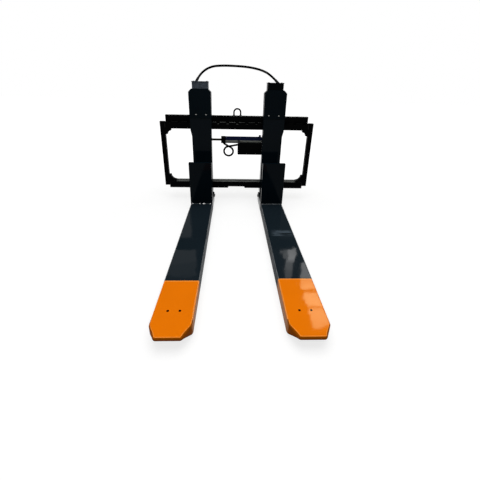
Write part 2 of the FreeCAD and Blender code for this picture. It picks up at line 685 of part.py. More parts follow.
for name, side in SIDES:
    sleeve_x = side * FORK_SPREAD / 2.0
    save("sleeve_" + name, sleeve_tube(sleeve_x))
    save("nose_" + name, nose(sleeve_x))
    save("heel_plate_" + name, heel_plate(sleeve_x))
    save("fork_" + name, inner_fork(side))
    save("hook_cover_" + name, hook_cover(side))
    save("cap_box_" + name, cap_box(side))
    save("heel_fitting_" + name, heel_fitting(side))
    save("side_plate_" + name, side_plate(side))
    save("upper_pad_" + name, slide_pad(side, True))
    save("lower_pad_" + name, slide_pad(side, False))
    save("upright_" + name, upright(side))
    save("truck_hook_" + name, truck_hook(side))
    save("low_hook_" + name, low_hook(side))

save("upper_bar", upper_bar())
save("lower_bar", lower_bar())
save("shift_cylinder", shift_cylinder())
save("barrel_port", barrel_port())
save("shift_gland", shift_gland())
save("shift_rod", shift_rod())
save("rod_bracket", rod_bracket())
save("valve_block", valve_block())
save("valve_fitting", valve_fitting())
save("top_rail", top_rail())
save("low_rail", low_rail())
save("lifting_eye", lifting_eye())
save("hose_arch", hose(ARCH, ARCH_R))
save("hose_end_left", ferrule(ARCH[0], ARCH[1]))
save("hose_end_right", ferrule(ARCH[-1], ARCH[-2]))
save("valve_hose", valve_hose())
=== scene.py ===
# %% [markdown]
# A telescopic fork carriage: two long box forks painted gloss navy with
# orange tips, hung on a black frame that slides sideways. The solids give
# every plate, bar and tube its size. This script adds the paint, the welds,
# the bolts and the hoses, and it sets up a plain studio around the whole.

# %% Load the frame and keep its box
import json
import math

import bmesh
import bpy
import numpy as np
from mathutils import Matrix, Vector

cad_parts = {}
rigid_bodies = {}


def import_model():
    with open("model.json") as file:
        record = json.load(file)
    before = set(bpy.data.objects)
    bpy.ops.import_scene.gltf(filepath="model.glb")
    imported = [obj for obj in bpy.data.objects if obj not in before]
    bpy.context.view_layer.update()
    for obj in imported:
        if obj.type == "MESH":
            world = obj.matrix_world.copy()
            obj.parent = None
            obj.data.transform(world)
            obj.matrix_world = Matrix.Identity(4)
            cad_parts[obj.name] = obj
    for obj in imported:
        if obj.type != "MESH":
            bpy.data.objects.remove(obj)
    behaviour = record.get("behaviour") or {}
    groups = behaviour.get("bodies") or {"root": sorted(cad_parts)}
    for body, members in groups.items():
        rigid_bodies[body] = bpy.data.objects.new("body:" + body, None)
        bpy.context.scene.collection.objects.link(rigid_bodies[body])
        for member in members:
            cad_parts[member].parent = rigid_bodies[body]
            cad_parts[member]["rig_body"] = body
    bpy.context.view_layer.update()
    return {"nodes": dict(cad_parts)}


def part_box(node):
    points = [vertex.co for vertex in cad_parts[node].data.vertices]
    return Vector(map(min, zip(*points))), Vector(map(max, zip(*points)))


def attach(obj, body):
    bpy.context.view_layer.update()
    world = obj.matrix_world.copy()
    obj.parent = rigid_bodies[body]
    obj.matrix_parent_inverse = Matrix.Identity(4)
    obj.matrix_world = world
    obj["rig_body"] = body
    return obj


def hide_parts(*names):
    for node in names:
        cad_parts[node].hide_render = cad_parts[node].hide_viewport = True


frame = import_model()
NODES = frame["nodes"]

# %% [markdown]
# The camera stands a little above the forks and looks down along them. A wide
# lens gives the forks their strong taper. Position, aim, tilt and lens come
# from the long straight edges of the forks and the carriage, and the small
# shift keeps the vertical framing.

# %% Camera
HEEL_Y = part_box("heel_plate_left")[0].y
SLEEVE_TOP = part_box("sleeve_left")[1].z
CAMERA_X = -0.0349
CAMERA_BEFORE_HEEL = 1.7230
CAMERA_OVER_SLEEVE = 0.7948
YAW, PITCH, ROLL = (math.radians(a) for a in (1.947, 23.762, 1.235))
FOCAL_PIXELS = 261.13
FRAME_PIXELS = 480
AXIS_ROW = 199.50
SENSOR_WIDTH = 36.0


def new_object(name, data):
    """An object at the origin, linked to the scene."""
    thing = bpy.data.objects.new(name, data)
    bpy.context.scene.collection.objects.link(thing)
    return thing


def camera_axes(yaw, pitch, roll):
    """Right, up and backward unit vectors: yaw turns the aim from +Y towards
    +X, pitch tips it down, and roll turns the picture about the aim."""
    aim = Vector((math.sin(yaw) * math.cos(pitch),
                  math.cos(yaw) * math.cos(pitch), -math.sin(pitch)))
    level = Vector((math.cos(yaw), -math.sin(yaw), 0.0))
    above = level.cross(aim)
    right = level * math.cos(roll) + above * math.sin(roll)
    up = above * math.cos(roll) - level * math.sin(roll)
    return right, up, -aim


def place_camera():
    """A camera whose matrix holds those three axes and its position."""
    data = bpy.data.cameras.new("camera")
    data.sensor_width = SENSOR_WIDTH
    data.lens = FOCAL_PIXELS / FRAME_PIXELS * SENSOR_WIDTH
    data.shift_y = -(FRAME_PIXELS / 2 - AXIS_ROW) / FRAME_PIXELS
    data.clip_start = 0.05
    camera = new_object("camera", data)
    turn = Matrix(camera_axes(YAW, PITCH, ROLL)).transposed().to_4x4()
    place = (CAMERA_X, HEEL_Y - CAMERA_BEFORE_HEEL, SLEEVE_TOP + CAMERA_OVER_SLEEVE)
    camera.matrix_world = Matrix.Translation(place) @ turn
    bpy.context.scene.camera = camera
    return camera


camera = place_camera()
print("camera lens", round(camera.data.lens, 2), "mm at", camera.location[:])

# %% [markdown]
# Two hoses show. One stands as an arch from fork to fork and feeds the far
# fork, and the other makes a small ring under the side-shift cylinder. Their
# routes are those of the solids, in millimetres, with Y counted from the heel.

# %% Hose routes
ARCH_ROUTE = [(-266, 205, 894), (-244, 205, 927), (-180, 205, 964), (-105, 205, 971),
              (-15, 205, 970), (75, 205, 965), (158, 205, 949), (216, 205, 922),
              (252, 205, 890)]
RING_LEAD_IN = [(-101.5, 250.0, 452.0), (-72.0, 245.0, 436.5)]
RING_LEAD_OUT = [(-32.0, 256.0, 433.0), (5.0, 254.0, 441.0)]
RING_CENTRE = (-63.0, 392.0)
RING_POLYGON = 35.2
RING_TURN = (61.0, -260.0)
RING_DRIFT = (241.5, 256.5)
RING_POINTS = 14


def ring_route():
    """Gland to valve block: a lead down to the right, one turn clockwise as
    seen from the front that drifts back by 15 mm, a lead out. The turn is
    the centre plus RING_POLYGON times cosine and sine."""
    turn = np.radians(np.linspace(*RING_TURN, RING_POINTS))
    x = RING_CENTRE[0] + RING_POLYGON * np.cos(turn)
    z = RING_CENTRE[1] + RING_POLYGON * np.sin(turn)
    y = np.linspace(*RING_DRIFT, RING_POINTS)
    return RING_LEAD_IN + list(zip(x, y, z)) + RING_LEAD_OUT


RING_ROUTE = ring_route()
print(len(ARCH_ROUTE), "and", len(RING_ROUTE), "route points")

# %% [markdown]
# A hose is one smooth curve with a round section. A NURBS curve suits it,
# because it glides past its control points instead of kinking at them. The
# section is 1 to 2 mm thicker than the solid's.

# %% Hose curves
MM = 0.001
ARCH_RADIUS = 7.0 * MM
RING_RADIUS = 7.2 * MM


def in_metres(point):
    """A route's point in metres."""
    x, y, z = point
    return (x * MM, HEEL_Y + y * MM, z * MM)


def hose(name, route, radius, node):
    """A NURBS curve of order 3 whose control points are the route, with a
    round section of the given radius, which each point carries as its scale
    of a unit bevel."""
    curve = bpy.data.curves.new(name, "CURVE")
    curve.dimensions = "3D"
    curve.bevel_depth = 1.0
    curve.bevel_resolution = 5
    curve.resolution_u = 10
    curve.render_resolution_u = 10
    curve.use_fill_caps = True
    spline = curve.splines.new("NURBS")
    spline.points.add(len(route) - 1)
    for control, point in zip(spline.points, route):
        control.co = (*in_metres(point), 1.0)
        control.radius = radius
    spline.order_u = 3
    spline.use_endpoint_u = True
    piece = new_object(name, curve)
    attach(piece, "carriage")
    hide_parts(node)
    return piece


arch = hose("arch_hose", ARCH_ROUTE, ARCH_RADIUS, "hose_arch")
ring = hose("ring_hose", RING_ROUTE, RING_RADIUS, "valve_hose")
print("hoses made:", arch.name, "and", ring.name)

# %% [markdown]
# A finish is a small graph of nodes. A short wrapper makes, sets and links a
# node in one call, for the paints and for the studio.

# %% Node helper
class Graph:
    """A node tree, with one short call for each kind of node."""

    def __init__(self, tree):
        self.tree = tree

    def add(self, kind, **settings):
        """A new node with these settings."""
        node = self.tree.nodes.new(kind)
        for key, value in settings.items():
            setattr(node, key, value)
        return node

    def feed(self, socket, value):
        """Links a socket, or writes a constant into one."""
        if isinstance(value, bpy.types.NodeSocket):
            self.tree.links.new(value, socket)
        else:
            socket.default_value = value

    def split(self, vector):
        """The x, y and z of a vector."""
        node = self.add("ShaderNodeSeparateXYZ")
        self.feed(node.inputs[0], vector)
        return node.outputs

    def math(self, operation, a, b=0.0, clamp=False):
        """One operation on two values, held between 0 and 1 by clamp."""
        node = self.add("ShaderNodeMath", operation=operation, use_clamp=clamp)
        self.feed(node.inputs[0], a)
        self.feed(node.inputs[1], b)
        return node.outputs[0]

    def times(self, product, *factors):
        """All the values multiplied."""
        for factor in factors:
            product = self.math("MULTIPLY", product, factor)
        return product

    def ramp(self, value, low, high, start=0.0, end=1.0):
        """Smooth step: start below low, end above high."""
        node = self.add("ShaderNodeMapRange", interpolation_type="SMOOTHSTEP")
        for socket, given in zip(node.inputs, (value, low, high, start, end)):
            self.feed(socket, given)
        return node.outputs[0]

    def window(self, value, low, high, soft):
        """1 from low to high and 0 outside, with smooth ends of 2 soft."""
        return self.times(self.ramp(value, low - soft, low + soft),
                          self.ramp(value, high - soft, high + soft, 1.0, 0.0))


print("node helper ready")

# %% [markdown]
# Every finish starts from Object coordinates, so that a pattern has its real
# size in metres and stays on its piece. No real finish is even, so tone,
# gloss and wear all wander with a noise, and each coat goes over the last one
# where its mask says.

# %% Recipe for a finish
class Recipe(Graph):
    """A material's graph around its Principled shader."""

    def __init__(self, name, metallic=0.0, specular=0.5):
        self.material = bpy.data.materials.new(name)
        self.material.use_nodes = True
        super().__init__(self.material.node_tree)
        self.shader = self.tree.nodes["Principled BSDF"]
        self.shader.inputs["Metallic"].default_value = metallic
        self.shader.inputs["Specular IOR Level"].default_value = specular
        self.place = self.add("ShaderNodeTexCoord").outputs["Object"]
        self.x, self.y, self.z = self.split(self.place)

    def noise(self, scale, detail=3.0, stretch=(1.0, 1.0, 1.0)):
        """Cloudy noise between 0 and 1, with scale blots to the metre."""
        mapping = self.add("ShaderNodeMapping")
        self.feed(mapping.inputs["Vector"], self.place)
        mapping.inputs["Scale"].default_value = stretch
        node = self.add("ShaderNodeTexNoise")
        self.feed(node.inputs["Vector"], mapping.outputs[0])
        node.inputs["Scale"].default_value = scale
        node.inputs["Detail"].default_value = detail
        return node.outputs["Fac"]

    def wander(self, start, end, scale, detail=3.0, low=0.3, high=0.7):
        """Start where a noise is under low, end where it is over high."""
        return self.ramp(self.noise(scale, detail), low, high, start, end)

    def mix(self, factor, a, b):
        """Blend of two colours."""
        node = self.add("ShaderNodeMix", data_type="RGBA")
        for socket, given in zip((node.inputs[0], node.inputs[6], node.inputs[7]),
                                 (factor, a, b)):
            if isinstance(given, tuple) and len(given) == 3:
                given = given + (1.0,)
            self.feed(socket, given)
        return node.outputs[2]

    def coat(self, under, over, mask, strength=1.0):
        """One colour over another where the mask is 1, as far as strength."""
        if strength != 1.0:
            mask = self.times(mask, strength)
        return self.mix(mask, under, over)

    def facing(self):
        """The x, y and z of the surface's normal."""
        return self.split(self.add("ShaderNodeNewGeometry").outputs["Normal"])

    def bump(self, height, strength, distance):
        """Tilts the shading as a relief of this height would."""
        node = self.add("ShaderNodeBump")
        node.inputs["Strength"].default_value = strength
        node.inputs["Distance"].default_value = distance
        self.feed(node.inputs["Height"], height)
        self.feed(self.shader.inputs["Normal"], node.outputs[0])

    def grain(self, scale, strength, distance):
        """Fine, even bumps."""
        self.bump(self.noise(scale, 2.0), strength, distance)

    def finish(self, colour, rough):
        """The material, with its colour and roughness fed to the shader."""
        self.feed(self.shader.inputs["Base Color"], colour)
        self.feed(self.shader.inputs["Roughness"], rough)
        return self.material


print("recipe ready")

# %% [markdown]
# Pallets leave thin scuffs along a fork, and they rub it where they catch. A
# pale line along the right sleeve's outer top edge is a painted highlight.
# Each mark is a mask: a window along an axis says where it is, and a noise
# makes it ragged. New enamel is also very slightly wavy, which bends whatever
# mirrors in it.

# %% Wear on the forks
RUB_ACROSS = (0.205, 0.318, 0.018)
RUB_ALONG = (HEEL_Y - 0.432, HEEL_Y - 0.375, 0.014)
GLINT_ACROSS = (0.3240, 0.3262)
GLINT_ALONG = (HEEL_Y - 0.255, HEEL_Y - 0.020, 0.004)
GLINT_HEIGHT = (SLEEVE_TOP - 0.0045, SLEEVE_TOP - 0.0035)
SLEEVE_SWELL = 0.0006
SHANK_SWELL = 0.0004
PEEL_SHARE = 0.010


def scuffs(recipe, scale, stretch, low, high):
    """Thin marks where a stretched noise passes a line, kept to patches by a
    broad noise."""
    lines = recipe.ramp(recipe.noise(scale, 2.0, stretch), low, high)
    return recipe.times(lines, recipe.wander(0.0, 1.0, scale=5.0, low=0.50, high=0.66))


def rubbed_patch(recipe):
    """A pale, streaky rub across the top of the right sleeve, halfway along."""
    streaks = recipe.noise(scale=55.0, stretch=(0.18, 1.6, 1.0))
    return recipe.times(recipe.window(recipe.x, *RUB_ACROSS),
                        recipe.window(recipe.y, *RUB_ALONG),
                        recipe.ramp(streaks, 0.38, 0.60))


def edge_glint(recipe):
    """Painted highlight: a pale line along the right sleeve's outer top edge, next to
    the heel.
    """
    return recipe.times(recipe.ramp(recipe.x, *GLINT_ACROSS),
                        recipe.window(recipe.y, *GLINT_ALONG),
                        recipe.wander(0.0, 1.0, scale=45.0, low=0.34, high=0.46),
                        recipe.ramp(recipe.z, *GLINT_HEIGHT))


def waviness(recipe, swell):
    """A long, shallow swell plus fine orange peel, as one height in metres."""
    long = recipe.times(recipe.noise(scale=11.0, detail=1.0), swell)
    peel = recipe.times(recipe.noise(scale=260.0, detail=1.0), swell * PEEL_SHARE)
    recipe.bump(recipe.math("ADD", long, peel), strength=1.0, distance=1.0)


def enamel_rough(recipe, glossiest, dullest):
    """Roughness that wanders slowly, as brushed-on enamel's does."""
    return recipe.wander(glossiest, dullest, scale=7.0, detail=4.0, high=0.75)


print("rub on the right sleeve at y", [round(y, 3) for y in RUB_ALONG[:2]], "m")

# %% [markdown]
# Two threaded holes sit near each tip. A dark red-brown ring round each is
# painted shade. The mask folds X twice, so that one distance serves all four.

# %% Painted shade round the tip holes
def middle_of(name):
    """The centre of a node's box, as x, y and z."""
    low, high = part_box(name)
    return [(a + b) / 2 for a, b in zip(low, high)]


SLEEVE_X = middle_of("sleeve_right")[0]
HOLE_RADIUS = 0.004
HOLE_SPREAD = 0.046
HOLE_FROM_TIP = 0.118
HOLE_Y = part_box("nose_left")[0].y + HOLE_FROM_TIP
SHADE_RING_WIDTH = (0.0008, 0.0016)


def hole_shade_ring(recipe):
    """1 up to the rim's width from a hole's edge: the distance is the root of
    across squared plus along squared, from the nearest hole's middle."""
    from_sleeve = recipe.math("SUBTRACT", recipe.math("ABSOLUTE", recipe.x), SLEEVE_X)
    across = recipe.math("SUBTRACT", recipe.math("ABSOLUTE", from_sleeve),
                         HOLE_SPREAD / 2)
    along = recipe.math("SUBTRACT", recipe.y, HOLE_Y)
    square = recipe.math("ADD", recipe.times(across, across),
                         recipe.times(along, along))
    inner, outer = (HOLE_RADIUS + width for width in SHADE_RING_WIDTH)
    return recipe.ramp(recipe.math("SQRT", square), inner, outer, 1.0, 0.0)


print("tip holes at x", round(SLEEVE_X, 4), "and y", round(HOLE_Y, 4), "m")

# %% [markdown]
# The front 290 mm of each sleeve is orange, with a painted highlight: a paler
# rim at the line and a pale line along the long rounded edges. On the walls the
# orange is painted browner, as shade.

# %% Orange coat
ORANGE = (0.775, 0.171, 0.0003)
ORANGE_LIT = (0.862, 0.194, 0.0004)
ORANGE_HIGHLIGHT = (0.960, 0.380, 0.075)
ORANGE_WALL_SHADE = (0.450, 0.165, 0.042)
HOLE_SHADE = (0.012, 0.0012, 0.0008)
LINE_Y = (HEEL_Y - 0.809, HEEL_Y - 0.797)
LINE_HIGHLIGHT_RIM = (0.0035, 0.0075)
TOP_BAND = (SLEEVE_TOP - 0.0085, SLEEVE_TOP - 0.0070)


def orange_coat(recipe, edge, ahead):
    """Orange with a painted highlight on its rounded edges and in a rim just
    ahead of its line, and painted shade round the holes. Below the top band it
    is a browner orange, painted shade on the walls."""
    orange = recipe.mix(recipe.noise(scale=9.0), ORANGE, ORANGE_LIT)
    # Painted highlight: a pale line on the rounded edges and a rim just ahead of the
    # line.
    orange = recipe.coat(orange, ORANGE_HIGHLIGHT, edge, strength=0.75)
    rim_highlight = recipe.ramp(ahead, *LINE_HIGHLIGHT_RIM, 1.0, 0.0)
    orange = recipe.coat(orange, ORANGE_HIGHLIGHT, rim_highlight, strength=0.6)
    # Painted shade: a dark red-brown ring round each tip hole.
    orange = recipe.coat(orange, HOLE_SHADE, hole_shade_ring(recipe))
    # Painted shade: below the top band the walls take a browner orange.
    return recipe.coat(ORANGE_WALL_SHADE, orange, recipe.ramp(recipe.z, *TOP_BAND))


print("orange starts at y", [round(y, 3) for y in LINE_Y], "m")

# %% [markdown]
# The rest of a sleeve is a navy so dark that it reads as black until something
# bright mirrors in it. Its top has the gloss of new enamel and its walls shine
# less. Its long rounded edges carry a painted highlight, a pale grey line, and
# the sole is bare where it drags.

# %% Sleeve paint
NAVY_DEEP = (0.0064, 0.0116, 0.0162)
NAVY_LIT = (0.0096, 0.0160, 0.0214)
SCUFF_BLUE = (0.036, 0.047, 0.058)
RUB_BLUE = (0.058, 0.078, 0.098)
EDGE_HIGHLIGHT_GREY = (0.150, 0.158, 0.165)
BARE_STEEL = (0.30, 0.30, 0.29)
GLINT_PALE = (0.45, 0.46, 0.47)
EDGE_HIGHLIGHT_LEAN = (0.45, 0.90, 0.04)
BETWEEN_SLEEVES = (-0.01, 0.01)
LINE_SOFT = 0.0008
SOLE_WEAR = (0.006, 0.009)
SOLE_RAGGED = 0.006


def sleeve_paint(name, specular, glossiest, dullest):
    """Navy with its wear and a painted highlight on the rounded edges, then the
    orange ahead of the line, then a painted highlight along one edge and bare
    steel on the sole."""
    recipe = Recipe(name, specular=specular)
    # The window on the normal's z finds the rounded long edges, for painted highlights.
    edge = recipe.window(recipe.facing()[2], *EDGE_HIGHLIGHT_LEAN)
    marks = scuffs(recipe, 90.0, stretch=(1.0, 0.06, 1.0), low=0.66, high=0.72)
    body = recipe.mix(recipe.noise(scale=4.0, detail=4.0), NAVY_DEEP, NAVY_LIT)
    body = recipe.coat(body, SCUFF_BLUE, marks, strength=0.35)
    body = recipe.coat(body, RUB_BLUE, rubbed_patch(recipe))
    # Painted highlight: a ragged pale grey line on the rounded long edges.
    edge_highlight = recipe.times(edge, recipe.wander(0.5, 0.95, scale=30.0, high=0.6))
    body = recipe.coat(body, EDGE_HIGHLIGHT_GREY, edge_highlight)

    line = recipe.ramp(recipe.x, *BETWEEN_SLEEVES, *LINE_Y)
    ahead = recipe.math("SUBTRACT", line, recipe.y)
    body = recipe.coat(body, orange_coat(recipe, edge, ahead),
                       recipe.ramp(ahead, 0.0, LINE_SOFT))
    # Painted highlight: a pale line along the right sleeve's outer top edge.
    body = recipe.coat(body, GLINT_PALE, edge_glint(recipe))

    ragged = recipe.times(recipe.noise(scale=40.0), SOLE_RAGGED)
    sole = recipe.ramp(recipe.math("ADD", recipe.z, ragged), *SOLE_WEAR, 1.0, 0.0)
    body = recipe.coat(body, BARE_STEEL, sole, strength=0.6)
    waviness(recipe, SLEEVE_SWELL)
    rough = recipe.math("ADD", enamel_rough(recipe, glossiest, dullest),
                        recipe.times(marks, 0.15))
    rough = recipe.math("ADD", rough, recipe.times(sole, 0.25), clamp=True)
    return recipe.finish(body, rough)


def paint_all(material, *starts):
    """Gives a material to every node whose name starts with one of starts."""
    named = [n for n in NODES if n.startswith(starts)]
    for name in named:
        NODES[name].data.materials.clear()
        NODES[name].data.materials.append(material)
    print(material.name, "on", ", ".join(sorted(named)))


SLEEVE_GLOSS = sleeve_paint("sleeve_gloss", 0.5, glossiest=0.04, dullest=0.07)
SLEEVE_WALL = sleeve_paint("sleeve_wall", 0.03, glossiest=0.36, dullest=0.50)
paint_all(SLEEVE_GLOSS, "sleeve_")

# %% [markdown]
# The shanks and heel plates are a deeper, duller navy, with a few upright
# scuffs.

# %% Shank paint
SHANK_DEEP = (0.0008, 0.0024, 0.0040)
SHANK_LIT = (0.0018, 0.0050, 0.0078)


def shank_paint(name):
    """Two tones of navy under scuffs that are stretched along Z."""
    recipe = Recipe(name, specular=0.03)
    body = recipe.mix(recipe.noise(scale=4.0, detail=4.0), SHANK_DEEP, SHANK_LIT)
    marks = scuffs(recipe, 120.0, stretch=(1.0, 1.0, 0.06), low=0.68, high=0.74)
    body = recipe.coat(body, SCUFF_BLUE, marks, strength=0.20)
    waviness(recipe, SHANK_SWELL)
    return recipe.finish(body, enamel_rough(recipe, 0.05, 0.10))


paint_all(shank_paint("shank_navy"), "heel_plate", "fork_")

# %% [markdown]
# A nose takes more knocks than the sleeve behind it. Its top has the same
# glossy orange, and its rounded edges carry a paler painted highlight. Its cut
# corners, ramp and lip are painted a darker orange as their own shadow, and
# the faces that look down are painted darker still, as shade. Its straight
# walls take the same painted shade as the sleeve's.

# %% Tip paint
ORANGE_SHADE = (0.290, 0.068, 0.0004)
ORANGE_UNDER_SHADE = (0.050, 0.013, 0.001)
STRAIGHT_WALL = (0.93, 0.985)
NOSE_HIGHLIGHT_LEAN = (0.86, 0.965, 0.03)
UNDER_SHADE_LEAN = (-0.75, 0.10)
CHIP_HEIGHT = (0.004, 0.016)


def tip_paint(name, specular, glossiest, dullest, shade):
    """Orange for a nose: shade is 0 for its glossy top, and 1 for its walls
    and its underside."""
    recipe = Recipe(name, specular=specular)
    facing = recipe.facing()
    tone = recipe.mix(recipe.noise(scale=9.0), ORANGE, ORANGE_LIT)
    tone = recipe.mix(shade, tone, ORANGE_SHADE)
    # Painted shade: straight walls take the same browner orange as the sleeve's walls.
    sideways = recipe.ramp(recipe.math("ABSOLUTE", facing[0]), *STRAIGHT_WALL)
    tone = recipe.coat(tone, ORANGE_WALL_SHADE, sideways, strength=shade)
    # Painted highlight: a paler line on the nose's rounded edges.
    edge = recipe.window(facing[2], *NOSE_HIGHLIGHT_LEAN)
    tone = recipe.coat(tone, ORANGE_HIGHLIGHT, edge, strength=0.55)
    # Painted shade: faces that look down are darkened in patches.
    under = recipe.ramp(facing[2], *UNDER_SHADE_LEAN, 1.0, 0.0)
    under_shade = recipe.times(under, recipe.wander(0.7, 1.0, scale=20.0, low=0.2, high=0.8))
    tone = recipe.coat(tone, ORANGE_UNDER_SHADE, under_shade)
    chips = recipe.times(recipe.wander(0.0, 1.0, scale=70.0, low=0.66, high=0.69),
                         recipe.ramp(recipe.z, *CHIP_HEIGHT, 1.0, 0.0))
    tone = recipe.coat(tone, BARE_STEEL, chips)
    waviness(recipe, SLEEVE_SWELL)
    return recipe.finish(tone, enamel_rough(recipe, glossiest, dullest))


TIP_GLOSS = tip_paint("tip_gloss", 0.5, glossiest=0.04, dullest=0.07, shade=0.0)
TIP_WALL = tip_paint("tip_wall", 0.01, glossiest=0.40, dullest=0.52, shade=1.0)
paint_all(TIP_GLOSS, "nose_")

# %% [markdown]
# The carriage and the hook frame wear a flat black that swallows light. Every
# face that looks up is painted grey, partly dust and partly painted light from
# above, most of all on the lower bars, so the graph mixes grey in by the face's
# own direction. On the upper bar's notch tops the grey is painted light.

# %% Carriage paint
CARRIAGE_BLACK = (0.0006, 0.0006, 0.0008)
CARRIAGE_SOFT = (0.0014, 0.0014, 0.0017)
DUST_AND_SHEEN_GREY = (0.150, 0.158, 0.150)
RAIL_DUST_AND_SHEEN_GREY = (0.620, 0.630, 0.620)
DUST_AND_SHEEN_LEAN = (0.6, 0.95)
NOTCH_REACH = 0.165
NOTCH_FADE = 0.02
NOTCH_MIDDLE = (-0.02, 0.06)


def carriage_paint(name, dust_and_sheen_amount, tone=DUST_AND_SHEEN_GREY, reach=None):
    """Flat black with grey on what looks up, dust and painted light. With a
    reach, the grey is painted light on the notch tops: thick only within that
    distance of the middle, and thinner on the right."""
    recipe = Recipe(name, specular=0.012)
    body = recipe.mix(recipe.noise(scale=14.0, detail=4.0), CARRIAGE_BLACK,
                      CARRIAGE_SOFT)
    # Dust and painted light: grey mixed in on faces that look up.
    dust_and_sheen = recipe.times(recipe.ramp(recipe.facing()[2], *DUST_AND_SHEEN_LEAN),
                           recipe.wander(0.6 * dust_and_sheen_amount, dust_and_sheen_amount, scale=22.0, detail=4.0))
    if reach is not None:
        away = recipe.math("ABSOLUTE", recipe.x)
        near = recipe.ramp(away, reach, reach + NOTCH_FADE, start=1.0, end=0.10)
        left = recipe.ramp(recipe.x, *NOTCH_MIDDLE, start=1.0, end=0.35)
        dust_and_sheen = recipe.times(dust_and_sheen, near, left)
    body = recipe.coat(body, tone, dust_and_sheen)
    recipe.grain(scale=600.0, strength=0.12, distance=0.0005)
    rough = recipe.math("ADD", recipe.wander(0.30, 0.44, scale=18.0, detail=4.0),
                        recipe.times(dust_and_sheen, 0.4), clamp=True)
    return recipe.finish(body, rough)


paint_all(carriage_paint("carriage_black", dust_and_sheen_amount=0.10), "side_plate", "upright",
          "truck_hook", "low_hook", "lifting_eye", "rod_bracket", "shift_gland")
# Painted light on the notch tops, lit from above.
paint_all(carriage_paint("notch_black_painted_light", dust_and_sheen_amount=0.75, reach=NOTCH_REACH),
          "upper_bar")
paint_all(carriage_paint("block_black", dust_and_sheen_amount=0.02), "valve_block")
paint_all(carriage_paint("rail_black_dust_and_sheen", dust_and_sheen_amount=1.0, tone=RAIL_DUST_AND_SHEEN_GREY), "top_rail")
paint_all(carriage_paint("lower_bar_black_dust_and_sheen", dust_and_sheen_amount=0.8), "lower_bar", "low_rail")

# %% [markdown]
# The housings over the fork hooks are navy like the shanks but duller. The
# left cap box carries a grey-blue painted sheen, and the right one is painted
# so dark, as shade, that it is nearly black. The right cover is painted a
# little darker too, as shade.

# %% Cover paint
CAP_PAINTED_SHEEN = (0.070, 0.084, 0.104)


def cover_paint(name, painted_sheen_amount=0.0, shade_factor=1.0):
    """Navy, painted darker as shade by a factor below 1, with a painted sheen mixed in.
    """
    recipe = Recipe(name, specular=0.02)
    deep, lit = (tuple(v * shade_factor for v in tone) for tone in (SHANK_DEEP, SHANK_LIT))
    body = recipe.mix(recipe.noise(scale=6.0, detail=4.0), deep, lit)
    # Painted sheen: grey-blue patches, used on the left cap box.
    sheen = recipe.wander(0.55 * painted_sheen_amount, painted_sheen_amount, scale=60.0, detail=5.0, low=0.25,
                          high=0.75)
    body = recipe.coat(body, CAP_PAINTED_SHEEN, sheen)
    recipe.grain(scale=500.0, strength=0.08, distance=0.0005)
    return recipe.finish(body, recipe.wander(0.22, 0.34, scale=25.0, detail=4.0))


paint_all(cover_paint("cover_navy"), "hook_cover_left")
# Painted shade: the right cover and cap box are darker copies of the navy.
paint_all(cover_paint("cover_navy_painted_shade", shade_factor=0.9), "hook_cover_right")
paint_all(cover_paint("cap_navy_painted_shade", shade_factor=0.2), "cap_box_right")
paint_all(cover_paint("cap_navy_painted_sheen", painted_sheen_amount=1.0), "cap_box_left")

# %% [markdown]
# The side-shift barrel is a grey-green tube with a dark blue band along its
# upper half. The band is left bare. The rod is ground steel under old oil, the
# slide pads are bronze, and the hoses are a dull black rubber.

# %% Cylinder, rod, pads, small fittings and rubber
BAND_BLUE = (0.004, 0.006, 0.024)
BARREL_GREY = (0.200, 0.212, 0.196)
BARREL_PALE = (0.245, 0.256, 0.236)
BARREL_AXIS_Z = middle_of("shift_gland")[2]
BAND_SOFT = 0.001
RUBBER_DARK = (0.0006, 0.0006, 0.0007)
RUBBER_GREY = (0.0016, 0.0016, 0.0018)


def barrel_paint():
    """Grey-green below the barrel's middle and blue above it."""
    recipe = Recipe("barrel_grey_and_blue", specular=0.03)
    grey = recipe.mix(recipe.noise(scale=20.0, detail=4.0), BARREL_GREY, BARREL_PALE)
    upper = recipe.ramp(recipe.z, BARREL_AXIS_Z - BAND_SOFT, BARREL_AXIS_Z + BAND_SOFT)
    recipe.grain(scale=300.0, strength=0.1, distance=0.0004)
    return recipe.finish(recipe.coat(grey, BAND_BLUE, upper),
                         recipe.wander(0.3, 0.42, scale=30.0))


def metal(name, dark, light, rough, metallic=1.0, specular=0.5):
    """Bare, plated or primed metal: two tones and a fine grain."""
    recipe = Recipe(name, metallic=metallic, specular=specular)
    tone = recipe.mix(recipe.noise(scale=60.0, detail=4.0), dark, light)
    recipe.grain(scale=900.0, strength=0.05, distance=0.0003)
    return recipe.finish(tone, recipe.wander(*rough, scale=120.0))


def rubber():
    """Dull black with a fine pebbled skin."""
    recipe = Recipe("hose_rubber", specular=0.015)
    body = recipe.mix(recipe.noise(scale=30.0), RUBBER_DARK, RUBBER_GREY)
    recipe.grain(scale=700.0, strength=0.25, distance=0.0006)
    return recipe.finish(body, recipe.wander(0.42, 0.58, scale=40.0))


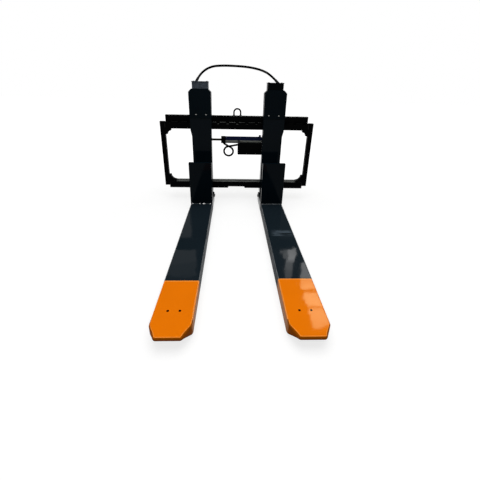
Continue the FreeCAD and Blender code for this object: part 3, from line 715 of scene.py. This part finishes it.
oiled_rod = metal("rod_steel", dark=(0.018, 0.017, 0.014), light=(0.042, 0.040, 0.034),
                  rough=(0.34, 0.46), metallic=0.0, specular=0.04)
zinc = metal("zinc_plate", dark=(0.22, 0.22, 0.21), light=(0.42, 0.42, 0.40),
             rough=(0.25, 0.4))
black_fitting = metal("black_fitting", dark=(0.004, 0.004, 0.0045),
                      light=(0.010, 0.010, 0.010), rough=(0.35, 0.5), metallic=0.3)
bronze = metal("pad_bronze", dark=(0.30, 0.20, 0.08), light=(0.42, 0.30, 0.13),
               rough=(0.35, 0.5))
paint_all(barrel_paint(), "shift_cylinder")
paint_all(oiled_rod, "shift_rod")
paint_all(black_fitting, "hose_end", "valve_fitting", "heel_fitting", "barrel_port")
paint_all(bronze, "upper_pad", "lower_pad")
hose_black = rubber()
for piece in (arch, ring):
    piece.data.materials.append(hose_black)
print("barrel's middle at", round(BARREL_AXIS_Z, 4), "m, rubber on both hoses")

# %% [markdown]
# No real plate has a knife edge: a ground or painted edge is a small round
# that catches light, and it shows as a thin bright or dark line. Each plate's
# mesh is copied, its doubles are merged, flat triangles are joined, and a
# bevel of a millimetre or two rounds every edge that turns by more than a set
# angle.

# %% Rounded edges
SIDES = (("left", -1), ("right", 1))
DOUBLES = 1e-6
FLAT_TURN, SMOOTH_TURN, EDGE_TURN = (math.radians(a) for a in (0.5, 30.0, 35.0))
ROUNDED = {"upper_bar": 0.0012, "lower_bar": 0.0015, "top_rail": 0.0015,
           "low_rail": 0.0015, "valve_block": 0.0010, "rod_bracket": 0.0012}
for name, _ in SIDES:
    ROUNDED.update({"heel_plate_" + name: 0.0018, "fork_" + name: 0.0020,
                    "hook_cover_" + name: 0.0020, "cap_box_" + name: 0.0010,
                    "side_plate_" + name: 0.0015, "upright_" + name: 0.0015,
                    "truck_hook_" + name: 0.0015, "low_hook_" + name: 0.0012})


def take_place(piece, name):
    """Puts a piece in a node's place, on the same body."""
    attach(piece, NODES[name]["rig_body"])
    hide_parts(name)


def softened(name, width):
    """Stands in for a node: its mesh with an edge rounding of this width."""
    mesh = NODES[name].data.copy()
    mesh.name = name + "_soft"
    work = bmesh.new()
    work.from_mesh(mesh)
    bmesh.ops.remove_doubles(work, verts=work.verts, dist=DOUBLES)
    bmesh.ops.dissolve_limit(work, angle_limit=FLAT_TURN, verts=work.verts,
                             edges=work.edges)
    weight = work.edges.layers.float.new("bevel_weight_edge")
    for edge in work.edges:
        sharp = len(edge.link_faces) == 2 and edge.calc_face_angle() > EDGE_TURN
        edge[weight] = 1.0 if sharp else 0.0
    work.to_mesh(mesh)
    work.free()
    if "custom_normal" in mesh.attributes:
        mesh.attributes.remove(mesh.attributes["custom_normal"])
    mesh.shade_smooth()
    mesh.set_sharp_from_angle(angle=SMOOTH_TURN)
    piece = new_object(name + "_soft", mesh)
    bevel = piece.modifiers.new("rounded_edges", "BEVEL")
    bevel.limit_method = "WEIGHT"
    bevel.width = width
    bevel.segments = 2
    bevel.harden_normals = True
    take_place(piece, name)


for name, width in ROUNDED.items():
    softened(name, width)
print(len(ROUNDED), "plates with rounded edges")

# %% [markdown]
# The sleeves are round already, so their copies only part the faces that look
# up, which are glossy, from the duller walls.

# %% Sleeves in two finishes
SLEEVE_LOOKS_UP = 0.60


def two_finishes(mesh, gloss, wall, lowest):
    """Gloss for faces whose normal's z reaches lowest, wall for the rest."""
    mesh.materials.clear()
    mesh.materials.append(gloss)
    mesh.materials.append(wall)
    normals = np.empty(len(mesh.polygons) * 3)
    mesh.polygons.foreach_get("normal", normals)
    mesh.polygons.foreach_set("material_index",
                              (normals.reshape(-1, 3)[:, 2] < lowest).astype(int))


for name in ("sleeve_left", "sleeve_right"):
    mesh = NODES[name].data.copy()
    two_finishes(mesh, SLEEVE_GLOSS, SLEEVE_WALL, SLEEVE_LOOKS_UP)
    take_place(new_object(name + "_dressed", mesh), name)
print("sleeves dressed in gloss and wall paint")

# %% [markdown]
# New pieces are grids of points worked out with numpy and joined by quads.
# A row of the grid is one ring of the surface, and closing the grid round
# joins its last column to its first.

# %% Grid to mesh
def grid_piece(name, points, body, material):
    """A mesh from an array of rings, shape (rings, steps, 3). Each ring is
    closed on itself, quads join ring to ring, and caps fill the two ends."""
    rings, steps, _ = points.shape
    index = np.arange(rings * steps).reshape(rings, steps)
    around = np.roll(index, -1, axis=1)
    quads = np.stack([index[:-1], around[:-1], around[1:], index[1:]], axis=-1)
    caps = [index[0][::-1].tolist(), index[-1].tolist()]
    mesh = bpy.data.meshes.new(name)
    mesh.from_pydata(points.reshape(-1, 3).tolist(), [],
                     quads.reshape(-1, 4).tolist() + caps)
    work = bmesh.new()
    work.from_mesh(mesh)
    if work.calc_volume(signed=True) < 0:
        bmesh.ops.reverse_faces(work, faces=work.faces)
        work.to_mesh(mesh)
    work.free()
    mesh.polygons.foreach_set("use_smooth", [True] * len(mesh.polygons))
    mesh.materials.append(material)
    piece = new_object(name, mesh)
    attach(piece, body)
    return piece


def unit_circle(axis, steps):
    """Points round an axis at radius 1: cosine times one unit vector across
    it plus sine times the other."""
    side = np.cross(axis, (0.0, 0.0, 1.0) if abs(axis[2]) < 0.9 else (1.0, 0.0, 0.0))
    side /= np.linalg.norm(side)
    angle = np.linspace(0, 2 * np.pi, steps, endpoint=False)[:, None]
    return np.cos(angle) * side + np.sin(angle) * np.cross(axis, side)


def turned(profile, foot, axis, steps=24):
    """Rings of a turned shape: each (radius, height) of the profile is swept
    round the axis, at that height along it from the foot."""
    axis = np.array(axis, float) / np.linalg.norm(axis)
    radius, height = np.array(profile, float).T[:, :, None, None]
    return np.array(foot, float) + height * axis + radius * unit_circle(axis, steps)


print("grid and turning helpers ready")

# %% [markdown]
# A nose is a solid casting: its underside slopes up to a low lip, its two
# front corners are cut off, and every edge is well rounded. It is a rounded
# rectangle carried along the fork. Each ring has its own half width, floor
# and radius, and the last rings shrink on a quarter circle to close the lip.

# %% Noses
NOSE_LIP = 0.0165
NOSE_RAMP = 0.073
CORNER_IN = 0.0295
CORNER_BACK = 0.055
CORNER_SOFT = 0.006
LIP_ROUND = 0.0078
LIP_UNDER = 0.0042
PLAN_ROUND = 0.0050
SIDE_ROUND = 0.0070
CORNER_ROUND = 0.0120
ROUND_GROWS_OVER = 0.030
ROUND_AT_MOST = 0.46
NOSE_STATIONS = (0.062, 0.058, 0.055, 0.052, 0.048, 0.040, 0.030, 0.020, 0.012)
LIP_TURN = np.radians(np.linspace(8.0, 90.0, 10))
NOSE_LOOKS_UP = 0.80
NOSE_CREASE = math.radians(34.0)


def rounded_ring(middle, half, low, high, radius, y, steps=6):
    """Four quarter circles joined by straight runs: a rectangle from middle
    minus half to middle plus half, low to high, at one y."""
    turn = np.linspace(0, np.pi / 2, steps + 1)
    signs = np.array([[1, 1], [-1, 1], [-1, -1], [1, -1]])
    angle = turn[None, :] + np.arange(4)[:, None] * np.pi / 2
    x = middle + signs[:, :1] * (half - radius) + radius * np.cos(angle)
    z = ((low + high) / 2 + signs[:, 1:] * ((high - low) / 2 - radius)
         + radius * np.sin(angle))
    return np.stack([x, np.full_like(x, y), z], axis=-1).reshape(-1, 3)


def nose_rings(middle, half, tip, back, high):
    """Ahead is the distance from the tip. Half width falls by CORNER_IN over
    CORNER_BACK with a soft start, the floor climbs over NOSE_RAMP, and over
    the LIP_TURN angles the lip shrinks by its round times 1 minus cosine."""
    straight = np.array([back - tip, NOSE_RAMP, *NOSE_STATIONS, LIP_ROUND])
    ahead = np.concatenate([straight, LIP_ROUND * (1 - np.sin(LIP_TURN))])
    shrink = np.concatenate([np.zeros(straight.size), 1 - np.cos(LIP_TURN)])
    past = CORNER_BACK - ahead
    eased = (past + CORNER_SOFT) ** 2 / (4 * CORNER_SOFT)
    past = np.where(past < -CORNER_SOFT, 0.0, np.where(past > CORNER_SOFT, past, eased))
    width = half - CORNER_IN / CORNER_BACK * past - PLAN_ROUND * shrink
    floor = np.clip((NOSE_RAMP - ahead) / NOSE_RAMP, 0, 1) * (high - NOSE_LIP)
    floor = floor + LIP_UNDER * shrink
    top = high - LIP_ROUND * shrink
    growth = np.clip(past / ROUND_GROWS_OVER, 0, 1)
    radius = np.minimum(SIDE_ROUND + (CORNER_ROUND - SIDE_ROUND) * growth,
                        ROUND_AT_MOST * (top - floor))
    return np.stack([rounded_ring(middle, w, f, u, r, tip + a)
                     for w, f, u, r, a in zip(width, floor, top, radius, ahead)])


SLEEVE_BODY = {"left": "sleeve_l", "right": "sleeve_r"}
for name, body in SLEEVE_BODY.items():
    low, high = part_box("nose_" + name)
    rings = nose_rings((low.x + high.x) / 2, (high.x - low.x) / 2, low.y, high.y,
                       high.z)
    piece = grid_piece("nose_" + name + "_cast", rings, body, TIP_GLOSS)
    two_finishes(piece.data, TIP_GLOSS, TIP_WALL, NOSE_LOOKS_UP)
    piece.data.set_sharp_from_angle(angle=NOSE_CREASE)
    weighted = piece.modifiers.new("flats_stay_flat", "WEIGHTED_NORMAL")
    weighted.keep_sharp = True
    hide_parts("nose_" + name)
print("noses cast,", rings.shape[0], "rings of", rings.shape[1], "points")

# %% [markdown]
# A domed screw holds each side of a hook cover. It is a turned shape: a low
# dome with a rounded rim and a socket sunk in the middle. Two more of them
# hold the top of each cap box.

# %% Cover and cap screws
SCREW_RADIUS = 0.0055
SCREW_RISE = 0.0034
SCREW_SPREAD = 0.070
SCREW_HEIGHT = 0.664
SOCKET_RADIUS = 0.42 * SCREW_RADIUS
SOCKET_DEPTH = 0.0022
CAP_INSET = 0.012


def dome_screw(foot, axis):
    """Socket floor, socket wall, then a quarter ellipse down to the rim:
    radius times sine and rise times cosine of a lean up to 90 degrees."""
    lean = np.linspace(0.35, 1.0, 7) * np.pi / 2
    dome = list(zip(SCREW_RADIUS * np.sin(lean), SCREW_RISE * np.cos(lean)))
    top = dome[0][1]
    socket = [(0.0006, top - SOCKET_DEPTH), (SOCKET_RADIUS, top - SOCKET_DEPTH),
              (SOCKET_RADIUS, top)]
    return turned(socket + dome + [(SCREW_RADIUS, -0.0006)], foot, axis)


for name, _ in SIDES:
    low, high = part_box("cap_box_" + name)
    middle_x, middle_y, _ = middle_of("cap_box_" + name)
    cover_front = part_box("hook_cover_" + name)[0].y
    for number, step in enumerate((-0.5, 0.5)):
        foot = (middle_x + step * SCREW_SPREAD, cover_front, SCREW_HEIGHT)
        rings = dome_screw(foot, (0, -1, 0))
        grid_piece(f"cover_screw_{name}_{number}", rings, "carriage", zinc)
    for number, x in enumerate((low.x + CAP_INSET, high.x - CAP_INSET)):
        rings = dome_screw((x, middle_y, high.z), (0, 0, 1))
        grid_piece(f"cap_screw_{name}_{number}", rings, "carriage", zinc)
print("cover screws", SCREW_SPREAD, "m apart")

# %% [markdown]
# The heel plate is welded to the sleeve's top. A weld bead is a small round
# ridge with a ripple each time the welder's hand moves on, so it is a tube
# whose radius swells and shrinks along its length. Bright spots on the left
# bead are painted glints, and the right one is a dull line with one fainter
# painted glint.

# %% Weld beads
BEAD = 0.0042
RIPPLE = 0.006
RIPPLE_RISE = 0.22
SWELL = 0.05
HEEL_INSET = 0.007
GLINT_SOFT = 0.0012


def bead_rings(start, end, radius, seed):
    """A tube from start to end: radius times 0.85 plus a rectified sine of
    the distance plus a slow random swell. Both ends draw in."""
    start, end = np.array(start, float), np.array(end, float)
    length = np.linalg.norm(end - start)
    way = (end - start) / length
    count = max(12, int(length / RIPPLE * 5))
    s = np.linspace(0.0, length, count)
    swell = np.random.default_rng(seed).normal(0, SWELL, count)
    swell = np.convolve(swell, np.ones(7) / 7, mode="same")
    ripple = RIPPLE_RISE * np.abs(np.sin(np.pi * s / RIPPLE))
    size = radius * (0.85 + ripple + swell)
    size *= np.sqrt(np.clip(np.minimum(s, length - s) / radius, 0.12, 1.0))
    return start + s[:, None, None] * way + size[:, None, None] * unit_circle(way, 10)


def bead_paint(name, base, glint_tone=BARE_STEEL, places=()):
    """Painted bead with painted glints, each a window along X: middle, reach."""
    recipe = Recipe(name, specular=0.10)
    glints = 0.0
    for middle, reach in places:
        spot = recipe.window(recipe.x, middle - reach, middle + reach, GLINT_SOFT)
        glints = recipe.math("MAXIMUM", glints, spot)
    lighter = tuple(2.2 * value for value in base)
    dull = recipe.mix(recipe.noise(scale=120.0, detail=2.0), base, lighter)
    return recipe.finish(recipe.mix(glints, dull, glint_tone), rough=0.35)


# Painted highlights: each listed window along X is a glint on its bead.
BEAD_PAINTS = {
    "left": bead_paint("weld_bead_left", (0.020, 0.024, 0.028), (0.85, 0.85, 0.85),
                       ((-0.3160, 0.004), (-0.2650, 0.003), (-0.2360, 0.009),
                        (-0.1900, 0.003))),
    "right": bead_paint("weld_bead_right", (0.045, 0.050, 0.054), (0.60, 0.60, 0.60),
                        ((0.1830, 0.0025),))}
for name, body in SLEEVE_BODY.items():
    low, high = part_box("heel_plate_" + name)
    rings = bead_rings((low.x + HEEL_INSET, low.y, low.z),
                       (high.x - HEEL_INSET, low.y, low.z), BEAD, seed=3)
    grid_piece("heel_weld_" + name, rings, body, BEAD_PAINTS[name])
print("heel welds made,", rings.shape[0], "rings each")

# %% [markdown]
# From the side and behind, the frame shows how it is made. The truck hooks are
# welded to the rail along their tops and sides, the uprights along their ends,
# and the side plates to the bars. These beads are thinner and painted over.

# %% Frame welds
FRAME_BEAD = 0.0034
WELD_INSET = 0.004
HOOK_RUN = (0.022, 0.002)
PLATE_INSET = 0.006
black_bead = bead_paint("weld_bead_black", (0.0012, 0.0012, 0.0014))


def frame_weld(name, start, end, body, seed):
    """A painted bead from start to end."""
    grid_piece(name, bead_rings(start, end, FRAME_BEAD, seed), body, black_bead)


def cross_weld(name, low, high, z, seed):
    """A bead across the front of a hook frame's piece, at one height."""
    frame_weld(name, (low.x + WELD_INSET, low.y, z), (high.x - WELD_INSET, low.y, z),
               "hook_frame", seed)


for number, (name, side) in enumerate(SIDES):
    low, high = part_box("truck_hook_" + name)
    cross_weld("hook_weld_top_" + name, low, high, high.z, 11 + number)
    for tag, x in (("a", low.x), ("b", high.x)):
        foot, head = ((x, low.y, high.z - drop) for drop in HOOK_RUN)
        frame_weld(f"hook_weld_side_{name}_{tag}", foot, head, "hook_frame",
                   13 + number)
    low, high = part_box("upright_" + name)
    for tag, z in (("top", high.z), ("foot", low.z)):
        cross_weld(f"upright_weld_{tag}_{name}", low, high, z, 17 + number)
    for tag, bar in (("top", "upper_bar"), ("foot", "lower_bar")):
        low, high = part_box(bar)
        x = side * (high.x - FRAME_BEAD)
        frame_weld(f"plate_weld_{tag}_{name}", (x, low.y, low.z + PLATE_INSET),
                   (x, low.y, high.z - PLATE_INSET), "carriage", 19 + number)
print("frame welds made")

# %% [markdown]
# The eye has a collar of weld round each leg, four cap screws hold the valve
# block, and a nut locks the rod in its bracket. All are turned shapes, and
# six steps round the axis give the nut its flats.

# %% Collars, block screws and the rod's nut
EYE_LEG = 0.0240
COLLAR = [(0.0002, 0.0), (0.0105, 0.0), (0.0098, 0.0012), (0.0082, 0.0026),
          (0.0070, 0.0044), (0.0002, 0.0046)]
BLOCK_INSET = (0.015, 0.012)
BLOCK_SCREW = [(0.0004, 0.0008), (0.0026, 0.0008), (0.0028, 0.0042), (0.0056, 0.0042),
               (0.0063, 0.0036), (0.0063, -0.0005)]
NUT = [(0.0082, 0.0), (0.0125, 0.0), (0.0140, 0.0012), (0.0140, 0.0088),
       (0.0125, 0.0100), (0.0082, 0.0100)]

for name, side in SIDES:
    foot = (side * EYE_LEG, middle_of("lifting_eye")[1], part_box("top_rail")[1].z)
    grid_piece("eye_collar_" + name, turned(COLLAR, foot, (0, 0, 1)), "hook_frame",
               black_bead)

low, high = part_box("valve_block")
corners = [(x, high.y, z) for z in (low.z + BLOCK_INSET[1], high.z - BLOCK_INSET[1])
           for x in (low.x + BLOCK_INSET[0], high.x - BLOCK_INSET[0])]
for number, corner in enumerate(corners):
    grid_piece(f"block_screw_{number}", turned(BLOCK_SCREW, corner, (0, 1, 0)),
               "carriage", black_fitting)

foot = (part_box("rod_bracket")[1].x, *middle_of("shift_rod")[1:])
rings = turned(NUT, foot, (1, 0, 0), steps=6)
nut = grid_piece("rod_nut", rings, "hook_frame", zinc)
nut.data.polygons.foreach_set("use_smooth", [False] * len(nut.data.polygons))
print("two collars,", len(corners), "block screws and a nut made")

# %% [markdown]
# A set screw sits in each of the threaded holes near the tips, so the hole
# reads as a small, dark red-brown spot. The screw is a turned disc with a round
# socket, sunk a little under the paint. Its colour, nearly black with a
# red-brown tint, is painted shade for the inside of the hole.

# %% Tip screws
SINK = 0.0012
DISC_RADIUS = HOLE_RADIUS - 0.0003
TIP_SCREW = [(0.0004, -0.0012), (0.0016, -0.0012), (0.0019, 0.0),
             (DISC_RADIUS, 0.0), (DISC_RADIUS, -0.004)]
# Painted shade: the disc is nearly black, so that the hole reads dark.
hole_shade_maroon = metal("maroon_hole_shade", dark=(0.006, 0.0008, 0.0006),
               light=(0.012, 0.0016, 0.001), rough=(0.5, 0.65), metallic=0.0,
               specular=0.02)
for name, body in SLEEVE_BODY.items():
    for number, side in enumerate((-0.5, 0.5)):
        x = middle_of("sleeve_" + name)[0] + side * HOLE_SPREAD
        rings = turned(TIP_SCREW, (x, HOLE_Y, SLEEVE_TOP - SINK), (0, 0, 1))
        grid_piece(f"tip_screw_{name}_{number}", rings, body, hole_shade_maroon)
print("tip screws", HOLE_SPREAD, "m apart")

# %% [markdown]
# The studio is a white floor, a white surround, one very large soft lamp
# overhead, a weak one in front and a few window-like panes high behind the
# forks. Floor and surround are white for straight and mirrored rays. Near the
# object, part of the floor's white is a matt surface, which takes its shadow.

# %% Floor
FLOOR_HALF = 14.0
FLOOR_Z = -0.0005
FLOOR_GLOW = 0.76
FLOOR_MATT = 0.27
FLOOR_FADE = (0.9, 2.2)


def seen_rays(graph):
    """Two values that are 1 for rays straight from the camera, and for rays
    from a mirror or through glass."""
    rays = graph.add("ShaderNodeLightPath").outputs
    mirrored = graph.math("MAXIMUM", rays["Is Glossy Ray"], rays["Is Transmission Ray"])
    return rays["Is Camera Ray"], mirrored


def floor_finish():
    """Emission plus a matt part: full glow far out, and less of it near the
    object."""
    material = bpy.data.materials.new("studio_floor")
    material.use_nodes = True
    graph = Graph(material.node_tree)
    graph.tree.nodes.clear()
    length = graph.add("ShaderNodeVectorMath", operation="LENGTH")
    graph.feed(length.inputs[0], graph.add("ShaderNodeTexCoord").outputs["Object"])
    near = graph.ramp(length.outputs["Value"], *FLOOR_FADE, FLOOR_GLOW, 1.0)
    seen = graph.math("MAXIMUM", *seen_rays(graph))
    glow = graph.add("ShaderNodeEmission")
    graph.feed(glow.inputs["Strength"], graph.times(seen, near))
    matt = graph.add("ShaderNodeBsdfDiffuse")
    graph.feed(matt.inputs["Color"], (FLOOR_MATT, FLOOR_MATT, FLOOR_MATT, 1.0))
    both = graph.add("ShaderNodeAddShader")
    graph.feed(both.inputs[0], matt.outputs[0])
    graph.feed(both.inputs[1], glow.outputs[0])
    graph.feed(graph.add("ShaderNodeOutputMaterial").inputs[0], both.outputs[0])
    return material


mesh = bpy.data.meshes.new("floor")
mesh.from_pydata([(x * FLOOR_HALF, y * FLOOR_HALF, FLOOR_Z)
                  for x, y in ((-1, -1), (1, -1), (1, 1), (-1, 1))],
                 [], [(0, 1, 2, 3)])
mesh.materials.append(floor_finish())
new_object("floor", mesh)
print("floor", 2 * FLOOR_HALF, "m wide")

# %% [markdown]
# The surround lights the object evenly from all sides. To mirrored rays it is
# white at the horizon and dim overhead, as a hall with a dark roof is, because
# gloss paint that mirrors white all over looks grey.

# %% Surround
WORLD_PLAIN = 0.34
WORLD_ROOF = 0.03
ROOF_STARTS = (0.10, 0.38)


def hall_world():
    """Strength is 1 for straight rays, a ramp from 1 at the horizon down to
    the roof's for mirrored ones, and the plain level for the rest."""
    world = bpy.data.worlds.new("studio_world")
    bpy.context.scene.world = world
    world.use_nodes = True
    graph = Graph(world.node_tree)
    graph.tree.nodes.clear()
    height = graph.split(graph.add("ShaderNodeTexCoord").outputs["Generated"])[2]
    hall = graph.ramp(height, *ROOF_STARTS, 1.0, WORLD_ROOF)
    straight, mirrored = seen_rays(graph)
    seen = graph.math("MAXIMUM", straight, graph.times(mirrored, hall))
    other = graph.math("SUBTRACT", 1.0, graph.math("MAXIMUM", straight, mirrored))
    light = graph.add("ShaderNodeBackground")
    graph.feed(light.inputs["Color"], (1.0, 1.0, 1.0, 1.0))
    graph.feed(light.inputs["Strength"],
               graph.math("ADD", seen, graph.times(other, WORLD_PLAIN)))
    graph.feed(graph.add("ShaderNodeOutputWorld").inputs[0], light.outputs[0])


hall_world()
print("surround at", WORLD_PLAIN, "of full white")

# %% [markdown]
# Gloss paint shows the panes as pale patches, which is how the eye reads it as
# gloss. Each pane is an area lamp, so its edges stay crisp in the mirror image.
# The two large lamps give the light and aren't mirrored.

# %% Lamps and panes
PANE_Y = HEEL_Y + 2.024
DAY = (1.0, 1.0, 1.0)
WARM = (1.0, 0.94, 0.50)
# Each row: name, left, right, foot and top in metres, brightness, tint.
PANES = [("far_left_low", -1.22, -0.647, 1.81, 2.14, 0.17, DAY),
         ("far_left_high", -1.26, -0.665, 2.14, 2.44, 0.12, DAY),
         ("low_left", -0.93, -0.706, 1.16, 1.61, 0.14, DAY),
         ("funnel_foot", 0.80, 0.95, 1.85, 1.93, 0.70, DAY),
         ("funnel_bright", 0.95, 1.085, 1.85, 1.94, 1.9, DAY),
         ("funnel_middle", 0.865, 0.965, 1.93, 2.04, 0.80, DAY),
         ("funnel_glare", 0.965, 1.075, 1.94, 2.05, 2.3, DAY),
         ("funnel_waist", 0.925, 1.068, 2.05, 2.14, 1.5, DAY),
         ("funnel_neck", 0.925, 1.06, 2.14, 2.27, 1.0, DAY),
         ("funnel_tail", 0.935, 1.06, 2.27, 2.47, 0.75, DAY),
         ("strip_right", 1.215, 2.10, 2.12, 2.49, 1.9, DAY),
         ("tip_a", 1.235, 2.10, 2.50, 2.60, 2.4, WARM),
         ("tip_b", 1.255, 2.10, 2.60, 2.73, 3.4, WARM),
         ("tip_c", 1.33, 2.10, 2.83, 2.96, 4.0, WARM),
         ("tip_d", 1.385, 2.15, 2.96, 3.09, 4.2, WARM),
         ("tip_e", 1.44, 2.20, 3.09, 3.20, 3.8, WARM),
         ("tip_f", 1.48, 2.20, 3.26, 3.40, 3.6, WARM),
         ("tip_g", 1.55, 2.25, 3.40, 3.56, 3.6, WARM),
         ("tip_h", 1.60, 1.98, 3.56, 3.72, 3.2, WARM)]


def soft_lamp(name, place, aim, size, power, tint=DAY, mirrored=False):
    """A rectangular area lamp, width by height, that looks at its aim. It
    shows in mirrored rays only where mirrored is true."""
    data = bpy.data.lights.new(name, "AREA")
    data.shape = "RECTANGLE"
    data.size, data.size_y = size
    data.energy = power
    data.color = tint
    lamp = new_object(name, data)
    lamp.location = place
    way = Vector(aim) - Vector(place)
    lamp.rotation_euler = way.to_track_quat("-Z", "Y").to_euler()
    lamp.visible_camera = False
    lamp.visible_glossy = mirrored


def pane(name, left, right, foot, top, brightness, tint):
    """An upright window pane behind the forks that faces the camera. A lamp
    of radiance L and area A has the power pi times L times A."""
    width, height = right - left, top - foot
    x, z = (left + right) / 2, (foot + top) / 2
    soft_lamp("pane_" + name, (x, PANE_Y, z), (x, PANE_Y - 1.0, z), (width, height),
              math.pi * brightness * width * height, tint, mirrored=True)


soft_lamp("roof_lamp", place=(0.0, -0.2, 3.2), aim=(0.0, -0.2, 0.0), size=(3.0, 3.0),
          power=80)
soft_lamp("front_lamp", place=(-1.0, -3.0, 1.6), aim=(0.0, 0.2, 0.3), size=(1.6, 1.2),
          power=5)
for row in PANES:
    pane(*row)
bpy.context.scene.view_settings.view_transform = "Standard"
print("studio ready with 2 lamps and", len(PANES), "panes")
